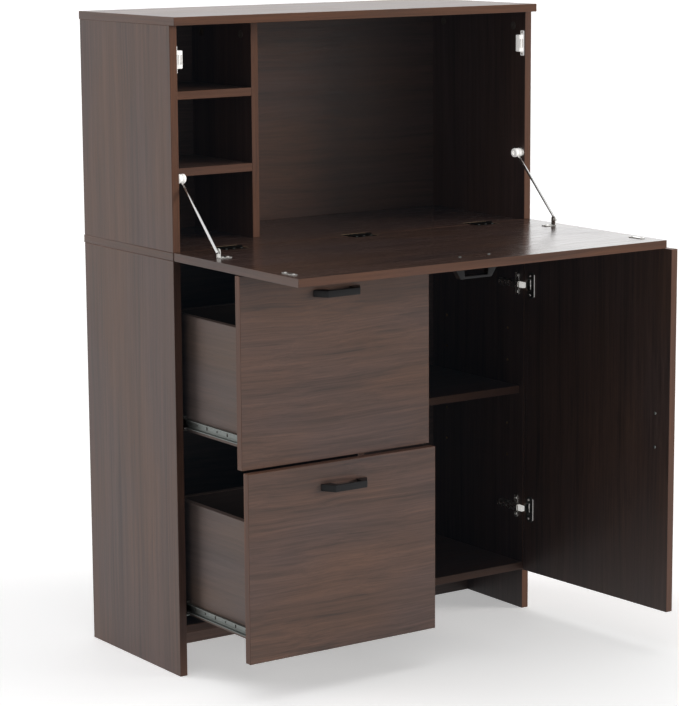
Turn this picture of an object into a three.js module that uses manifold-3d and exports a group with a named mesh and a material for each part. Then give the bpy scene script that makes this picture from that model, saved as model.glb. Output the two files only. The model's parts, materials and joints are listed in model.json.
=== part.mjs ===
// Secretary desk: a base cabinet with two file drawers and a door, and a hutch whose
// full-width flap folds down level with the desk panel. Shown with the flap down, the
// door open and both drawers part-way out. Millimetres, +Z up, front towards -Y.
import * as THREE from 'three';
import { mergeVertices } from 'three/addons/utils/BufferGeometryUtils.js';
import Module from 'manifold-3d';

const wasm = await Module();
wasm.setup();

// ---- Driving dimensions -------------------------------------------------------------
// Positions are measured from the cabinet's front left corner on the floor; ORIGIN is
// where the finished group's own origin lies in that system.
const ORIGIN = { x: 427, y: -41 };

const WIDTH = 812;
const DEPTH = 322;
const HEIGHT = 1200;
const BOARD = 15;
const DESK_TOP = 783;
const PLINTH = 80;
const TOP_OVERHANG = 16;
const REAR_LIP = 3;
const BACK_FACE = 297;
const BACK_BOARD = 4;
const MIDDLE = WIDTH / 2;

// Fronts: drawers and door overlay the base, the flap overlays the hutch.
const FRONT_GAP = 3;
const FRONT_EDGE = 1;
const FRONT_BOTTOM = PLINTH;
const FRONT_TOP = 766;
const FRONT_REAR = -3;

// Hutch fittings stand well back, to leave the stays room to swing.
const CUBBY_SETBACK = 90;
const CUBBY_WIDTH = 212;
const CUBBY_HEIGHT = 124;

// Shelf holes in the base's right-hand bay.
const PIN_HOLES = { radius: 2.5, depth: 9, first: 306, pitch: 64, rows: 5, front: 50, rear: 250 };
const SHELF_PIN_ROW = 2;
const SHELF_SETBACK = 11;

// Drawers.
const DRAWER_SIDE = 12;
const DRAWER_BOX_HEIGHT = 213;
const DRAWER_BOX_LIFT = 30;
const DRAWER_BOX_DEPTH = 280;
const DRAWER_BOTTOM = { thickness: 4, lift: 8 };
const SLIDE_SPACE = 13;
const DRAWER_PULL = { upper: 200, lower: 219 };
const HANDLE_BELOW_TOP = 43;

// Ball-bearing slide: a channel on the cabinet with a smaller one, on the drawer, inside it.
const SLIDE_LIFT = 16;
const SLIDE_METAL = 1.25;
const SLIDE = {
  outer: { height: 27, width: 10.5, front: 3, rear: 278 },
  inner: { height: 16, width: 8.5, front: 1, rear: 276 },
};

// Bridge handle, the same on flap, door and drawers.
const HANDLE = { foot: 50, footInner: 27, bar: 34, barInner: 25, projection: 24, barThickness: 5, width: 13 };
const SEAT_GAP = 0.3;

// Flap and its axis, which lies on the cabinet's front plane just above the desk panel.
const FLAP_GAP = 1;
const FLAP_LENGTH = 399;
const FLAP_AXIS_Z = DESK_TOP + 0.5;
const FLAP_HANDLE_Y = -350;
const FLAP_HINGES = { spacing: 286, length: 50, plate: 20, thickness: 2, knuckle: 2.6, middle: 20 };

// Stays: a rod that slides through a turning hub on each hutch side.
const STAY = { x: 25, hubY: 12, hubZ: 913, bracketY: -107, bracketZ: 795 };
const HUB = { radius: 8.6, halfWidth: 8, bore: 3 };
const ROD = { radius: 2.5, beyondHub: 14, beyondPin: 4, pinBore: 1.4 };
const BRACKET = { ear: 1.5, earInset: 3, foot: 24, halfLength: 7, rise: 6 };

// Door and its cup hinges.
const DOOR_ANGLE = THREE.MathUtils.degToRad(93);
const DOOR_AXIS = { x: WIDTH - 8, y: -11 };
const DOOR_HANDLE_INSET = 37;
const HINGE_HEIGHTS = { upper: 655, lower: 207 };
const CUP = { radius: 13, wall: 1, depth: 11.5, inset: 16.5 };
const CUP_PLATE = { freeSide: 13, hingeSide: 7, halfHeight: 25.5, thickness: 1 };

// ---- Materials ----------------------------------------------------------------------
function finish(color, roughness, metalness = 0) {
  return new THREE.MeshStandardMaterial({ color, roughness, metalness });
}
const WALNUT = finish(0x5a4438, 0.5);
const WALNUT_FRONT = finish(0x5c4a42, 0.5);
const BACK_PANEL = finish(0x5d5350, 0.6);
const DRAWER_LINING = finish(0x6d5c52, 0.6);
const ZINC = finish(0xb4b6b8, 0.35, 0.9);
const BLACK_METAL = finish(0x25262a, 0.4, 0.7);
const WHITE_PLASTIC = finish(0xe9e8e4, 0.45);

// ---- Geometry helpers ---------------------------------------------------------------
// Closed geometry from a box given by its limits on each axis.
function block([x0, x1], [y0, y1], [z0, z1]) {
  const geometry = new THREE.BoxGeometry(x1 - x0, y1 - y0, z1 - z0);
  return geometry.translate((x0 + x1) / 2, (y0 + y1) / 2, (z0 + z1) / 2);
}

// Cylinder along X, Y or Z between two limits on that axis, centred on the other two.
function rod(axis, radius, from, to, [a, b], sides = 24) {
  const geometry = new THREE.CylinderGeometry(radius, radius, to - from, sides);
  geometry.translate(0, (from + to) / 2, 0);
  if (axis === 'x') return geometry.rotateZ(-Math.PI / 2).translate(0, a, b);
  if (axis === 'z') return geometry.rotateX(Math.PI / 2).translate(a, b, 0);
  return geometry.translate(a, 0, b);
}

function toSolid(geometry) {
  const bare = geometry.clone();
  bare.deleteAttribute('normal');
  bare.deleteAttribute('uv');
  const merged = mergeVertices(bare, 1e-4);
  const vertProperties = new Float32Array(merged.attributes.position.array);
  const triVerts = new Uint32Array(merged.index.array);
  return new wasm.Manifold(new wasm.Mesh({ numProp: 3, vertProperties, triVerts }));
}

function toGeometry(solid) {
  const mesh = solid.getMesh();
  const geometry = new THREE.BufferGeometry();
  geometry.setAttribute('position', new THREE.BufferAttribute(mesh.vertProperties, 3));
  geometry.setIndex(new THREE.BufferAttribute(mesh.triVerts, 1));
  return geometry.toNonIndexed();
}

function join(...geometries) {
  const solids = geometries.map(toSolid);
  return toGeometry(solids.slice(1).reduce((sum, next) => sum.add(next), solids[0]));
}

function cut(geometry, ...tools) {
  return toGeometry(tools.reduce((rest, tool) => rest.subtract(toSolid(tool)), toSolid(geometry)));
}

// Adds one named piece. Its geometry is re-centred, so its place is the mesh's position.
function add(group, name, geometry, material) {
  geometry.computeBoundingBox();
  const centre = geometry.boundingBox.getCenter(new THREE.Vector3());
  centre.set(Math.round(centre.x * 4) / 4, Math.round(centre.y * 4) / 4, Math.round(centre.z * 4) / 4);
  geometry.translate(-centre.x, -centre.y, -centre.z);
  geometry.computeVertexNormals();
  const mesh = new THREE.Mesh(geometry, material);
  mesh.name = name;
  mesh.position.copy(centre);
  group.add(mesh);
  return mesh;
}

// ---- Shared hardware ----------------------------------------------------------------
// Flat strap on two wide feet: length along X, standing out along +Y from y = 0.
function handleGeometry() {
  const { foot, footInner, bar, barInner, projection, barThickness, width } = HANDLE;
  const outline = new THREE.Shape();
  outline.moveTo(-foot, 0);
  outline.lineTo(-footInner, 0);
  outline.lineTo(-barInner, projection - barThickness);
  outline.lineTo(barInner, projection - barThickness);
  outline.lineTo(footInner, 0);
  outline.lineTo(foot, 0);
  outline.lineTo(bar, projection);
  outline.lineTo(-bar, projection);
  outline.closePath();
  const geometry = new THREE.ExtrudeGeometry(outline, { depth: width, bevelEnabled: false });
  return geometry.translate(0, SEAT_GAP, -width / 2);
}

// C-shaped channel running along Y. It is open towards +X when side is 1, -X when -1.
function channelGeometry({ height, width }, length, side) {
  const half = height / 2;
  const inside = half - SLIDE_METAL;
  const profile = [
    [0, -half], [width, -half], [width, -inside], [SLIDE_METAL, -inside],
    [SLIDE_METAL, inside], [width, inside], [width, half], [0, half],
  ];
  const shape = new THREE.Shape(profile.map(([x, z]) => new THREE.Vector2(x * side, z)));
  const geometry = new THREE.ExtrudeGeometry(shape, { depth: length, bevelEnabled: false });
  return geometry.rotateX(Math.PI / 2).translate(0, length, 0);
}

// ---- Base cabinet -------------------------------------------------------------------
function pinHoles(faceX, towards) {
  const holes = [];
  for (let row = 0; row < PIN_HOLES.rows; row += 1) {
    const z = PIN_HOLES.first + row * PIN_HOLES.pitch;
    for (const y of [PIN_HOLES.front, PIN_HOLES.rear]) {
      const ends = [faceX - 1, faceX + PIN_HOLES.depth].map((x) => faceX + (x - faceX) * towards);
      holes.push(rod('x', PIN_HOLES.radius, Math.min(...ends), Math.max(...ends), [y, z], 12));
    }
  }
  return holes;
}

const baseTop = DESK_TOP - BOARD;
const bayTop = [PLINTH + BOARD, baseTop];
const rightFace = WIDTH - BOARD;
const dividerLeft = MIDDLE - BOARD / 2;
const dividerRight = MIDDLE + BOARD / 2;

function buildBase(desk) {
  add(desk, 'base_side_left', block([0, BOARD], [0, DEPTH], [0, baseTop]), WALNUT);
  const rightSide = block([rightFace, WIDTH], [0, DEPTH], [0, baseTop]);
  add(desk, 'base_side_right', cut(rightSide, ...pinHoles(rightFace, 1)), WALNUT);
  const divider = block([dividerLeft, dividerRight], [0, BACK_FACE], bayTop);
  add(desk, 'base_divider', cut(divider, ...pinHoles(dividerRight, -1)), WALNUT);
  add(desk, 'base_bottom', block([BOARD, rightFace], [0, BACK_FACE], [PLINTH, PLINTH + BOARD]), WALNUT);
  const backRange = [BACK_FACE, BACK_FACE + BACK_BOARD];
  add(desk, 'base_back', block([BOARD, rightFace], backRange, [PLINTH, baseTop]), BACK_PANEL);
  const railFront = 178;
  add(desk, 'plinth_rail', block([BOARD, rightFace], [railFront, railFront + BOARD], [0, PLINTH]), WALNUT);

  const shelfBottom = PIN_HOLES.first + SHELF_PIN_ROW * PIN_HOLES.pitch + PIN_HOLES.radius;
  const shelfX = [dividerRight + 1, rightFace - 1];
  const shelf = block(shelfX, [SHELF_SETBACK, BACK_FACE - 1], [shelfBottom, shelfBottom + BOARD]);
  add(desk, 'adjustable_shelf', shelf, WALNUT);
}

// ---- Flap hinges: two leaves on one axis, let into the boards --------------------------
const hingeCentres = {
  left: MIDDLE - FLAP_HINGES.spacing,
  middle: MIDDLE,
  right: MIDDLE + FLAP_HINGES.spacing,
};
const leafZ = [FLAP_AXIS_Z - FLAP_HINGES.knuckle, FLAP_AXIS_Z - FLAP_HINGES.knuckle + FLAP_HINGES.thickness];
const LEAF_CLEARANCE = 0.4;

// Room for one leaf and its knuckle. direction is +1 in the desk panel, -1 in the flap.
function leafRecess(centre, direction) {
  const half = FLAP_HINGES.length / 2 + LEAF_CLEARANCE;
  const reach = 3 + FLAP_HINGES.plate + LEAF_CLEARANCE;
  const y = direction > 0 ? [-2, reach] : [-reach, 2];
  return block([centre - half, centre + half], y, [leafZ[0] - LEAF_CLEARANCE, DESK_TOP + 5]);
}

function leafGeometry(centre, direction, knuckles) {
  const half = FLAP_HINGES.length / 2;
  const far = 3 + FLAP_HINGES.plate;
  const plateY = direction > 0 ? [3, far] : [-far, -3];
  const webY = direction > 0 ? [0, 3.5] : [-3.5, 0];
  const pieces = [block([centre - half, centre + half], plateY, leafZ)];
  for (const [x0, x1] of knuckles) {
    pieces.push(block([centre + x0, centre + x1], webY, leafZ));
    pieces.push(rod('x', FLAP_HINGES.knuckle, centre + x0, centre + x1, [0, FLAP_AXIS_Z], 16));
  }
  return join(...pieces);
}

function buildFlapHinges(desk, flap) {
  const half = FLAP_HINGES.length / 2;
  const inner = FLAP_HINGES.middle / 2;
  for (const [side, x] of Object.entries(hingeCentres)) {
    add(desk, `flap_hinge_base_${side}`, leafGeometry(x, 1, [[-inner, inner]]), BLACK_METAL);
    const outerKnuckles = [[-half, -inner - 0.5], [inner + 0.5, half]];
    add(flap, `flap_hinge_leaf_${side}`, leafGeometry(x, -1, outerKnuckles), BLACK_METAL);
  }
}

// ---- Hutch --------------------------------------------------------------------------
function buildHutch(desk) {
  const recesses = Object.values(hingeCentres).map((x) => leafRecess(x, 1));
  const panel = block([0, WIDTH], [0, DEPTH + REAR_LIP], [baseTop, DESK_TOP]);
  add(desk, 'desk_panel', cut(panel, ...recesses), WALNUT);

  const z = [DESK_TOP, HEIGHT - BOARD];
  add(desk, 'hutch_side_left', block([0, BOARD], [0, DEPTH], z), WALNUT);
  add(desk, 'hutch_side_right', block([rightFace, WIDTH], [0, DEPTH], z), WALNUT);
  add(desk, 'hutch_back', block([BOARD, rightFace], [BACK_FACE, BACK_FACE + BACK_BOARD], z), BACK_PANEL);
  const topY = [-TOP_OVERHANG, DEPTH + REAR_LIP];
  add(desk, 'hutch_top', block([0, WIDTH], topY, [HEIGHT - BOARD, HEIGHT]), WALNUT);

  const cubbyRight = BOARD + CUBBY_WIDTH;
  const cubbyY = [CUBBY_SETBACK, BACK_FACE];
  add(desk, 'hutch_divider', block([cubbyRight, cubbyRight + BOARD], cubbyY, z), WALNUT);
  let shelfZ = DESK_TOP + CUBBY_HEIGHT;
  for (const level of ['lower', 'upper']) {
    add(desk, `hutch_shelf_${level}`, block([BOARD, cubbyRight], cubbyY, [shelfZ, shelfZ + BOARD]), WALNUT);
    shelfZ += BOARD + CUBBY_HEIGHT;
  }
}

// ---- Flap ---------------------------------------------------------------------------
function buildFlap(flap) {
  const recesses = Object.values(hingeCentres).map((x) => leafRecess(x, -1));
  const panelX = [FRONT_EDGE, WIDTH - FRONT_EDGE];
  const panel = block(panelX, [-FLAP_GAP - FLAP_LENGTH, -FLAP_GAP], [baseTop, DESK_TOP]);
  add(flap, 'flap_panel', cut(panel, ...recesses), WALNUT);

  const handle = handleGeometry().rotateX(-Math.PI / 2).translate(MIDDLE, FLAP_HANDLE_Y, baseTop);
  add(flap, 'flap_handle', handle, BLACK_METAL);
}

// ---- Stays --------------------------------------------------------------------------
// Bracket on the flap: a foot and an upright ear with a round end, bored for the rod's pin.
function bracketGeometry(side) {
  const inner = STAY.x + BRACKET.earInset;
  const ear = new THREE.Shape();
  const lift = STAY.bracketZ - DESK_TOP;
  ear.moveTo(-BRACKET.rise, 0);
  ear.lineTo(BRACKET.rise, 0);
  ear.lineTo(BRACKET.rise, lift);
  ear.absarc(0, lift, BRACKET.rise, 0, Math.PI, false);
  ear.closePath();
  ear.holes.push(new THREE.Path().absarc(0, lift, ROD.pinBore, 0, Math.PI * 2, true));
  const upright = new THREE.ExtrudeGeometry(ear, { depth: BRACKET.ear, bevelEnabled: false, curveSegments: 10 });
  // The outline's X becomes Y and its Y becomes Z, with the plate's thickness along X.
  upright.rotateX(Math.PI / 2).rotateZ(Math.PI / 2).translate(inner, STAY.bracketY, DESK_TOP);
  const footY = [STAY.bracketY - BRACKET.halfLength, STAY.bracketY + BRACKET.halfLength];
  const foot = block([inner, inner + BRACKET.foot], footY, [DESK_TOP, DESK_TOP + BRACKET.ear]);
  return toSide(join(upright, foot), side);
}

// Left-hand geometry as it is, or mirrored about the middle of the desk.
function toSide(geometry, side) {
  if (side === 'left') return geometry;
  const mirrored = geometry.clone();
  const position = mirrored.attributes.position;
  for (let i = 0; i < position.count; i += 3) {
    const corners = [0, 2, 1].map((k) => new THREE.Vector3().fromBufferAttribute(geometry.attributes.position, i + k));
    corners.forEach((p, k) => position.setXYZ(i + k, WIDTH - p.x, p.y, p.z));
  }
  return mirrored;
}

function buildStays(desk, flap) {
  const dy = STAY.hubY - STAY.bracketY;
  const dz = STAY.hubZ - STAY.bracketZ;
  const slope = Math.atan2(dz, dy);
  const reach = Math.hypot(dy, dz) + ROD.beyondHub;
  for (const side of ['left', 'right']) {
    add(flap, `stay_bracket_${side}`, bracketGeometry(side), ZINC);
    const x = side === 'left' ? STAY.x : WIDTH - STAY.x;

    const barrel = rod('x', HUB.radius, -HUB.halfWidth, HUB.halfWidth, [0, 0], 32);
    const bore = rod('y', HUB.bore, -HUB.radius - 1, HUB.radius + 1, [0, 0], 16);
    const hub = add(desk, `stay_hub_${side}`, cut(barrel, bore), WHITE_PLASTIC);
    hub.position.set(x, STAY.hubY, STAY.hubZ);
    hub.rotation.x = slope;

    // The rod's origin is its pin hole; it runs along +Y before it is tilted to the slope.
    const pinHole = rod('x', ROD.pinBore, -ROD.radius - 1, ROD.radius + 1, [0, 0], 12);
    const shank = rod('y', ROD.radius, -ROD.beyondPin, reach, [0, 0], 16);
    const stay = new THREE.Mesh(cut(shank, pinHole), ZINC);
    stay.geometry.computeVertexNormals();
    stay.name = `stay_rod_${side}`;
    stay.position.set(x, STAY.bracketY, STAY.bracketZ);
    stay.rotation.x = slope;
    desk.add(stay);
  }
}

// ---- Door and its hinges --------------------------------------------------------------
const frontLimits = {
  drawers: [FRONT_EDGE, MIDDLE - FRONT_GAP / 2],
  door: [MIDDLE + FRONT_GAP / 2, WIDTH - FRONT_EDGE],
};
const frontY = [FRONT_REAR - BOARD, FRONT_REAR];

// Door pieces are drawn closed, about the door's own axis, and the group is swung open.
function buildDoor(desk) {
  const door = new THREE.Group();
  door.position.set(DOOR_AXIS.x, DOOR_AXIS.y, 0);
  door.rotation.z = DOOR_ANGLE;
  desk.add(door);
  const swing = (geometry) => geometry.translate(-DOOR_AXIS.x, -DOOR_AXIS.y, 0);

  const cupX = frontLimits.door[1] - CUP.inset;
  const hole = (z) => rod('y', CUP.radius + SEAT_GAP, FRONT_REAR - CUP.depth - SEAT_GAP, 1, [cupX, z], 32);
  const panel = block(frontLimits.door, frontY, [FRONT_BOTTOM, FRONT_TOP]);
  const holes = Object.values(HINGE_HEIGHTS).map(hole);
  add(door, 'door_panel', swing(cut(panel, ...holes)), WALNUT_FRONT);

  const handle = handleGeometry().rotateX(Math.PI).rotateY(Math.PI / 2);
  const handleZ = (FRONT_BOTTOM + FRONT_TOP) / 2;
  handle.translate(frontLimits.door[0] + DOOR_HANDLE_INSET, frontY[0], handleZ);
  add(door, 'door_handle', swing(handle), BLACK_METAL);

  for (const [level, z] of Object.entries(HINGE_HEIGHTS)) {
    const cupFloor = FRONT_REAR - CUP.depth;
    const seat = FRONT_REAR + SEAT_GAP;
    const bowl = rod('y', CUP.radius, cupFloor, seat + CUP_PLATE.thickness / 2, [cupX, z], 32);
    const plateX = [cupX - CUP_PLATE.freeSide, cupX + CUP_PLATE.hingeSide];
    const plateZ = [z - CUP_PLATE.halfHeight, z + CUP_PLATE.halfHeight];
    const plate = block(plateX, [seat, seat + CUP_PLATE.thickness], plateZ);
    const hollow = rod('y', CUP.radius - CUP.wall, cupFloor + CUP.wall, 5, [cupX, z], 32);
    add(door, `hinge_cup_${level}`, swing(cut(join(bowl, plate), hollow)), ZINC);

    // Arm fixed to the side panel; its tip reaches into the cup when the door is shut.
    const wings = block([rightFace - 2, rightFace], [14, 24], [z - 23.5, z + 23.5]);
    const base = block([rightFace - 4, rightFace], [10, 66], [z - 7, z + 7]);
    const arm = block([rightFace - 13, rightFace - 3.5], [2, 64], [z - 6.5, z + 6.5]);
    const tip = block([rightFace - 12, rightFace - 3.5], [-12, 3], [z - 6, z + 6]);
    add(desk, `hinge_arm_${level}`, join(wings, base, arm, tip), ZINC);
  }
}

// ---- Drawers and slides ---------------------------------------------------------------
const frontHeight = (FRONT_TOP - FRONT_BOTTOM - FRONT_GAP) / 2;
const drawerLevels = {
  lower: [FRONT_BOTTOM, FRONT_BOTTOM + frontHeight],
  upper: [FRONT_TOP - frontHeight, FRONT_TOP],
};

// Drawer pieces are drawn closed; the group carries the whole drawer forward.
function buildDrawer(desk, level) {
  const drawer = new THREE.Group();
  drawer.position.y = -DRAWER_PULL[level];
  desk.add(drawer);

  const [bottom, top] = drawerLevels[level];
  const front = block(frontLimits.drawers, frontY, [bottom, top]);
  add(drawer, `drawer_${level}_front`, front, WALNUT_FRONT);
  const handle = handleGeometry().rotateX(Math.PI);
  handle.translate((frontLimits.drawers[0] + frontLimits.drawers[1]) / 2, frontY[0], top - HANDLE_BELOW_TOP);
  add(drawer, `drawer_${level}_handle`, handle, BLACK_METAL);

  const boxX = [BOARD + SLIDE_SPACE, dividerLeft - SLIDE_SPACE];
  const boxY = [FRONT_REAR, FRONT_REAR + DRAWER_BOX_DEPTH];
  const boxZ = [bottom + DRAWER_BOX_LIFT, bottom + DRAWER_BOX_LIFT + DRAWER_BOX_HEIGHT];
  const innerX = [boxX[0] + DRAWER_SIDE, boxX[1] - DRAWER_SIDE];
  add(drawer, `drawer_${level}_side_left`, block([boxX[0], innerX[0]], boxY, boxZ), DRAWER_LINING);
  add(drawer, `drawer_${level}_side_right`, block([innerX[1], boxX[1]], boxY, boxZ), DRAWER_LINING);
  const backY = [boxY[1] - DRAWER_SIDE, boxY[1]];
  add(drawer, `drawer_${level}_back`, block(innerX, backY, boxZ), DRAWER_LINING);
  const floorZ = boxZ[0] + DRAWER_BOTTOM.lift;
  const floor = block(innerX, [boxY[0], backY[0]], [floorZ, floorZ + DRAWER_BOTTOM.thickness]);
  add(drawer, `drawer_${level}_bottom`, floor, DRAWER_LINING);

  buildSlides(desk, drawer, level, boxZ[0] + SLIDE_LIFT);
}

function buildSlides(desk, drawer, level, z) {
  for (const [side, wall, inwards] of [['left', BOARD, 1], ['right', dividerLeft, -1]]) {
    const { outer, inner } = SLIDE;
    const fixed = channelGeometry(outer, outer.rear - outer.front, inwards);
    fixed.translate(wall, outer.front, z);
    add(desk, `slide_${level}_outer_${side}`, fixed, ZINC);
    // The drawer's channel is open towards the cabinet's wall.
    const moving = channelGeometry(inner, inner.rear - inner.front, -inwards);
    moving.translate(wall + inwards * SLIDE_SPACE, inner.front, z);
    add(drawer, `slide_${level}_inner_${side}`, moving, ZINC);
  }
}

// ---- Assembly -------------------------------------------------------------------------
const desk = new THREE.Group();
desk.position.set(-ORIGIN.x, -ORIGIN.y, 0);
const flap = new THREE.Group();
desk.add(flap);

buildBase(desk);
buildHutch(desk);
buildFlap(flap);
buildFlapHinges(desk, flap);
buildStays(desk, flap);
buildDoor(desk);
buildDrawer(desk, 'upper');
buildDrawer(desk, 'lower');

export default desk;
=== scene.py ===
import json
import math

import bmesh
import bpy
from mathutils import Matrix, Vector


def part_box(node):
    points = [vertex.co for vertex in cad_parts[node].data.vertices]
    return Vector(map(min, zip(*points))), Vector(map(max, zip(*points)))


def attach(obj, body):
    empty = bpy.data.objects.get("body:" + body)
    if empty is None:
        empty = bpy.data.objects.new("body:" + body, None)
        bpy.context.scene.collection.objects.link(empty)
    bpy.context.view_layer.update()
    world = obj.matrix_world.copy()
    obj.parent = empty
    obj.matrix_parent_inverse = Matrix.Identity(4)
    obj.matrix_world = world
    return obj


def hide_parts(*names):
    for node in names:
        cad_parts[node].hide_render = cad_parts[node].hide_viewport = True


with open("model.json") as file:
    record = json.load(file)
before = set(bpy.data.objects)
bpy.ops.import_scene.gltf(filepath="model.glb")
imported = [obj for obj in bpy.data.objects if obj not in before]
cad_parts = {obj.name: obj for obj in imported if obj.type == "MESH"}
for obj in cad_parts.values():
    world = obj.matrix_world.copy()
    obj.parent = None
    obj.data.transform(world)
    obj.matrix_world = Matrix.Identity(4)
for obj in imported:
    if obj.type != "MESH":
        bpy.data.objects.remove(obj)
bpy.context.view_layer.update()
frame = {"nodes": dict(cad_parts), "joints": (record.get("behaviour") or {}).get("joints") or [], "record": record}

# Looks of a walnut-laminate secretary desk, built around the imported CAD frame. Metres.
MM = 0.001
X, Y, Z = Vector((1, 0, 0)), Vector((0, 1, 0)), Vector((0, 0, 1))
SIDES = ("left", "right")
LEVELS = ("upper", "lower")

# ---- Places taken from the frame ------------------------------------------------------
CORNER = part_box("base_side_left")[0]
RIGHT_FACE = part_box("base_side_right")[0].x
LEFT_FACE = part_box("base_side_left")[1].x
WALL = {"left": LEFT_FACE, "right": RIGHT_FACE}
INWARD = {"left": 1, "right": -1}
DESK_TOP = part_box("desk_panel")[1].z
JOINTS = {joint["name"]: joint for joint in frame["joints"]}
BODY_OF = {node: body for body, nodes in frame["record"]["behaviour"]["bodies"].items() for node in nodes}

# The door is packed open; its own pieces are easier to make shut, then swung with it.
DOOR_AXIS = Vector(JOINTS["door_swing"]["pos_m"])
DOOR_OPEN = -math.radians(JOINTS["door_swing"]["range_deg"][0])
SWING = Matrix.Translation(DOOR_AXIS) @ Matrix.Rotation(DOOR_OPEN, 4, "Z") @ Matrix.Translation(-DOOR_AXIS)
UNSWING = SWING.inverted()


# ---- Mesh helpers ---------------------------------------------------------------------
def cad_mesh(node, matrix=None):
    """A bmesh copy of a CAD node: split vertices welded, flat faces joined up again."""
    bm = bmesh.new()
    bm.from_mesh(frame["nodes"][node].data)
    bmesh.ops.remove_doubles(bm, verts=bm.verts, dist=2e-6)
    bmesh.ops.dissolve_limit(bm, angle_limit=math.radians(1), verts=bm.verts, edges=bm.edges)
    if matrix:
        bmesh.ops.transform(bm, matrix=matrix, verts=bm.verts)
    return bm


def limits(bm):
    points = [v.co for v in bm.verts]
    low = Vector([min(p[k] for p in points) for k in range(3)])
    high = Vector([max(p[k] for p in points) for k in range(3)])
    return low, high


def round_edges(bm, width, segments=2, sharper_than=30):
    edges = [
        e for e in bm.edges
        if len(e.link_faces) == 2 and e.calc_face_angle(0) > math.radians(sharper_than)
    ]
    made = bmesh.ops.bevel(
        bm, geom=edges, offset=width, segments=segments, profile=0.5,
        affect="EDGES", clamp_overlap=True,
    )
    for face in made["faces"]:
        face.smooth = True


def add_mesh(bm, mesh, matrix=Matrix.Identity(4)):
    before = set(bm.verts)
    bm.from_mesh(mesh)
    new = [v for v in bm.verts if v not in before]
    bmesh.ops.transform(bm, matrix=matrix, verts=new)


def merge(bm, other, matrix=Matrix.Identity(4)):
    """Adds bmesh other to bm as a separate shell, and frees it."""
    mesh = bpy.data.meshes.new("part")
    other.to_mesh(mesh)
    other.free()
    add_mesh(bm, mesh, matrix)
    bpy.data.meshes.remove(mesh)


def block(low, high, width=0.0, segments=2):
    bm = bmesh.new()
    low, high = Vector(low), Vector(high)
    size = high - low
    matrix = Matrix.Translation((low + high) / 2) @ Matrix.Diagonal((*size, 1))
    bmesh.ops.create_cube(bm, size=1, matrix=matrix)
    if width:
        round_edges(bm, width, segments)
    return bm


def lathe(profile, sides=32):
    """Turns (radius, height) pairs about Z. The first and last radii are 0."""
    bm = bmesh.new()
    rings = []
    for radius, height in profile:
        if radius == 0:
            rings.append([bm.verts.new((0, 0, height))])
            continue
        turn = [2 * math.pi * k / sides for k in range(sides)]
        rings.append([bm.verts.new((radius * math.cos(a), radius * math.sin(a), height)) for a in turn])
    for lower, upper in zip(rings, rings[1:]):
        for k in range(sides):
            corners = [lower[k % len(lower)], lower[(k + 1) % len(lower)],
                       upper[(k + 1) % len(upper)], upper[k % len(upper)]]
            face = bm.faces.new(list(dict.fromkeys(corners)))
            face.smooth = True
    return bm


def mm(*points):
    """Pairs of millimetres, as metres."""
    return [(x * MM, y * MM) for x, y in points]


def cylinder(radius, half, sides):
    """A plain bar along Z, from -half to half: a pin, or the tool that cuts a bore."""
    return lathe([(0, -half), (radius, -half), (radius, half), (0, half)], sides)


def paint(bm, index):
    for face in bm.faces:
        face.material_index = index


def prism(outline, thickness, width=0.0, segments=2):
    """Extrudes a closed XY outline up Z from 0 to thickness."""
    bm = bmesh.new()
    face = bm.faces.new([bm.verts.new((x, y, 0)) for x, y in outline])
    made = bmesh.ops.extrude_face_region(bm, geom=[face])
    top = [v for v in made["geom"] if isinstance(v, bmesh.types.BMVert)]
    bmesh.ops.translate(bm, vec=(0, 0, thickness), verts=top)
    bmesh.ops.recalc_face_normals(bm, faces=bm.faces)
    if width:
        round_edges(bm, width, segments)
    return bm


def arc(centre, radius, start, end, steps=8):
    turn = [math.radians(start + (end - start) * k / steps) for k in range(steps + 1)]
    return [(centre[0] + radius * math.cos(a), centre[1] + radius * math.sin(a)) for a in turn]


def slot_outline(length, width, steps=10):
    """An oblong along X with round ends, centred on 0."""
    half, radius = (length - width) / 2, width / 2
    return arc((half, 0), radius, -90, 90, steps) + arc((-half, 0), radius, 90, 270, steps)


def strip_outline(path, thickness, bend, steps=4):
    """Outline of a thin folded strip: path is its middle line, whose corners get a round bend."""
    points = [Vector(path[0]).to_2d()]
    for before, corner, after in zip(path, path[1:], path[2:]):
        before, corner, after = (Vector(p).to_2d() for p in (before, corner, after))
        inward = (before - corner).normalized()
        outward = (after - corner).normalized()
        reach = bend / math.tan(inward.angle(outward) / 2)
        start, end = corner + inward * reach, corner + outward * reach
        for k in range(steps + 1):
            t = k / steps
            points.append((1 - t) ** 2 * start + 2 * t * (1 - t) * corner + t * t * end)
    points.append(Vector(path[-1]).to_2d())
    left, right = [], []
    for k, point in enumerate(points):
        ahead = (points[min(k + 1, len(points) - 1)] - points[max(k - 1, 0)]).normalized()
        normal = Vector((-ahead.y, ahead.x)) * thickness / 2
        left.append(point + normal)
        right.append(point - normal)
    return [tuple(p) for p in left + right[::-1]]


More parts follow.
